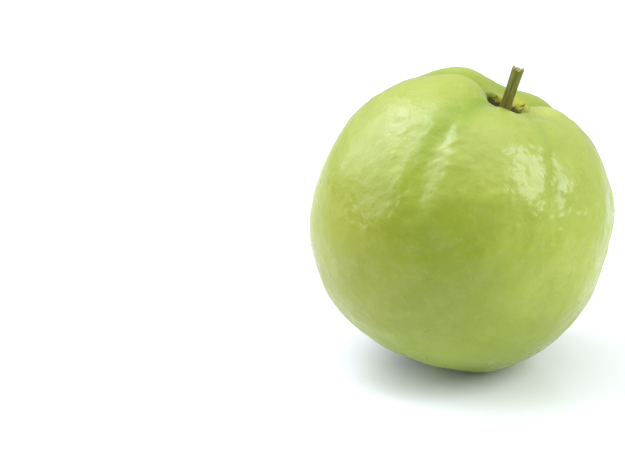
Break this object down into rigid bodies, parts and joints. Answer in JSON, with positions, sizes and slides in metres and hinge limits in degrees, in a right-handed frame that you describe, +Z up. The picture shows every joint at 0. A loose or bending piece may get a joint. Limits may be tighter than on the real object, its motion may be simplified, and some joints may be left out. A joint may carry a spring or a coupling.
{
  "type": "guava",
  "caption": "Whole round guava with a softly lobed, pale green skin, a short cut stem in a pit at its top and a dried calyx at its foot, leaning over at rest.",
  "frame": {"origin": "on the surface that the fruit rests on, under the middle of its outline seen from above", "axes": "+Z up; the stem end leans towards +X; the view in the picture looks along +Y, a little downwards"},
  "size_m": [0.095, 0.0934, 0.0964],
  "materials": {
    "skin": "waxy pale green fruit skin, uneven and finely bumpy, with a soft gloss",
    "stem": "matte green-brown stalk with a dry, pale cut end",
    "calyx": "matte dry brown"
  },
  "bodies": {
    "root": {"fruit": "skin", "stem": "stem", "calyx": "calyx"}
  },
  "joints": []
}
